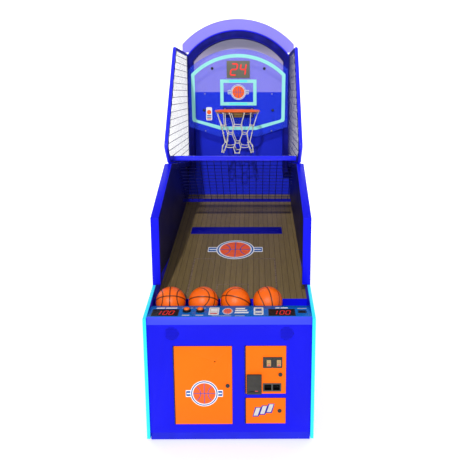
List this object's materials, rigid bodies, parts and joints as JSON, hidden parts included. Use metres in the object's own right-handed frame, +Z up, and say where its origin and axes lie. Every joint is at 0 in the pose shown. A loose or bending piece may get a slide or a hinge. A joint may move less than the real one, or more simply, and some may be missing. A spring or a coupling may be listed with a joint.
{
  "type": "basketball hoop machine",
  "caption": "Free-standing arcade hoop-shooting game: cabinet with ball trough and doors, rising playfield, wire cage, arched backboard with rim and net.",
  "frame": {"origin": "on the floor, in the middle of the ground the machine covers", "axes": "+X to the player's right, +Y away from the player towards the backboard, +Z up"},
  "size_m": [0.965, 2.464, 2.615],
  "materials": {
    "laminate_blue": "blue laminate on board, satin",
    "edge_trim": "cyan vinyl edge trim, glossy",
    "bare_board": "bare plywood",
    "kick_blue": "dark blue painted board",
    "black_plastic": "black moulded plastic",
    "door_orange": "orange powder coat",
    "hinge_steel": "zinc plated steel",
    "lock_steel": "dark nickel",
    "coin_grey": "dark grey textured",
    "reject_tan": "amber plastic, lit",
    "board_green": "circuit board and power supply",
    "panel_blue": "blue overlay on board",
    "display_lens": "smoked red lens",
    "button_orange": "orange moulded plastic",
    "steel_blue": "blue powder coat",
    "court_wood": "sealed hardwood boards",
    "gate_blue": "dark blue powder coat",
    "ball_rubber": "orange pebbled rubber, dark seams",
    "mesh_steel": "blue painted welded wire",
    "marquee_acrylic": "lavender translucent acrylic",
    "gloss_blue": "glossy blue sheet",
    "window_acrylic": "smoked translucent acrylic",
    "backboard_acrylic": "blue tinted clear acrylic",
    "clock_grey": "olive grey case",
    "rim_orange": "orange powder coat",
    "bracket_tan": "yellow zinc plated steel",
    "net_cord": "off-white braided cord"
  },
  "bodies": {
    "cabinet": {"side_panel_left": "laminate_blue", "side_panel_right": "laminate_blue", "edge_trim_left": "edge_trim", "edge_trim_right": "edge_trim", "floor_board": "bare_board", "kick_plate": "kick_blue", "rear_panel": "laminate_blue", "power_inlet": "black_plastic", "foot_front_left": "black_plastic", "foot_rear_left": "black_plastic", "foot_front_right": "black_plastic", "foot_rear_right": "black_plastic", "front_panel": "laminate_blue", "speaker_left": "laminate_blue", "speaker_right": "laminate_blue", "service_hinge": "hinge_steel", "coin_hinge": "hinge_steel", "cash_hinge": "hinge_steel", "cash_box": "hinge_steel", "electronics_tray": "board_green", "control_panel": "panel_blue", "display_left": "display_lens", "display_right": "display_lens", "ball_trough": "steel_blue", "playfield": "court_wood", "side_wall_left": "laminate_blue", "side_wall_right": "laminate_blue", "cross_bar": "steel_blue", "cage_frame_left": "steel_blue", "cage_frame_right": "steel_blue", "side_mesh_left": "mesh_steel", "side_mesh_right": "mesh_steel", "lower_screen": "mesh_steel", "back_frame": "laminate_blue", "marquee": "marquee_acrylic", "back_panel": "gloss_blue", "rear_window": "window_acrylic", "backboard": "backboard_acrylic", "shot_clock": "clock_grey", "rim": "rim_orange", "rim_bracket": "bracket_tan", "net": "net_cord"},
    "service_door": {"service_door": "door_orange"},
    "service_lock": {"service_lock": "lock_steel"},
    "coin_door": {"coin_door": "door_orange", "coin_entry": "coin_grey", "coin_return": "coin_grey", "note_acceptor": "coin_grey"},
    "coin_lock": {"coin_lock": "lock_steel"},
    "reject_left": {"reject_button_left": "reject_tan"},
    "reject_right": {"reject_button_right": "reject_tan"},
    "cash_door": {"cash_door": "door_orange"},
    "cash_lock": {"cash_lock": "lock_steel"},
    "ball_gate": {"ball_gate": "gate_blue"},
    "start_button": {"start_button": "button_orange"},
    "select_button": {"select_button": "button_orange"},
    "ball_1": {"ball_1": "ball_rubber"},
    "ball_2": {"ball_2": "ball_rubber"},
    "ball_3": {"ball_3": "ball_rubber"},
    "ball_4": {"ball_4": "ball_rubber"}
  },
  "joints": [
    {"name": "service_door_hinge", "type": "hinge", "parent": "cabinet", "child": "service_door", "pos_m": [-0.3175, -1.204, 0.357], "axis": [0, 0, -1], "range_deg": [0, 110]},
    {"name": "service_lock_turn", "type": "hinge", "parent": "service_door", "child": "service_lock", "pos_m": [-0.013, -1.209, 0.357], "axis": [0, -1, 0], "range_deg": [0, 90]},
    {"name": "coin_door_hinge", "type": "hinge", "parent": "cabinet", "child": "coin_door", "pos_m": [0.0875, -1.204, 0.4525], "axis": [0, 0, -1], "range_deg": [0, 95]},
    {"name": "coin_lock_turn", "type": "hinge", "parent": "coin_door", "child": "coin_lock", "pos_m": [0.287, -1.209, 0.425], "axis": [0, -1, 0], "range_deg": [0, 90]},
    {"name": "cash_door_hinge", "type": "hinge", "parent": "cabinet", "child": "cash_door", "pos_m": [0.0875, -1.204, 0.199], "axis": [0, 0, -1], "range_deg": [0, 110]},
    {"name": "cash_lock_turn", "type": "hinge", "parent": "cash_door", "child": "cash_lock", "pos_m": [0.284, -1.209, 0.2], "axis": [0, -1, 0], "range_deg": [0, 90]},
    {"name": "reject_left_press", "type": "slide", "parent": "coin_door", "child": "reject_left", "axis": [0, 1, 0], "range_m": [0, 0.003], "stiffness_N_per_m": 300},
    {"name": "reject_right_press", "type": "slide", "parent": "coin_door", "child": "reject_right", "axis": [0, 1, 0], "range_m": [0, 0.003], "stiffness_N_per_m": 300},
    {"name": "ball_gate_lift", "type": "hinge", "parent": "cabinet", "child": "ball_gate", "pos_m": [0, 0.1115, 0.91494], "axis": [1, 0, 0], "range_deg": [0, 60]},
    {"name": "start_button_press", "type": "slide", "parent": "cabinet", "child": "start_button", "axis": [0, 0, -1], "range_m": [0, 0.003], "stiffness_N_per_m": 500},
    {"name": "select_button_press", "type": "slide", "parent": "cabinet", "child": "select_button", "axis": [0, 0, -1], "range_m": [0, 0.003], "stiffness_N_per_m": 500},
    {"name": "ball_1_lift_out", "type": "slide", "parent": "cabinet", "child": "ball_1", "axis": [0, 0, 1], "range_m": [0, 0.3]},
    {"name": "ball_2_lift_out", "type": "slide", "parent": "cabinet", "child": "ball_2", "axis": [0, 0, 1], "range_m": [0, 0.3]},
    {"name": "ball_3_lift_out", "type": "slide", "parent": "cabinet", "child": "ball_3", "axis": [0, 0, 1], "range_m": [0, 0.3]},
    {"name": "ball_4_lift_out", "type": "slide", "parent": "cabinet", "child": "ball_4", "axis": [0, 0, 1], "range_m": [0, 0.3]}
  ]
}
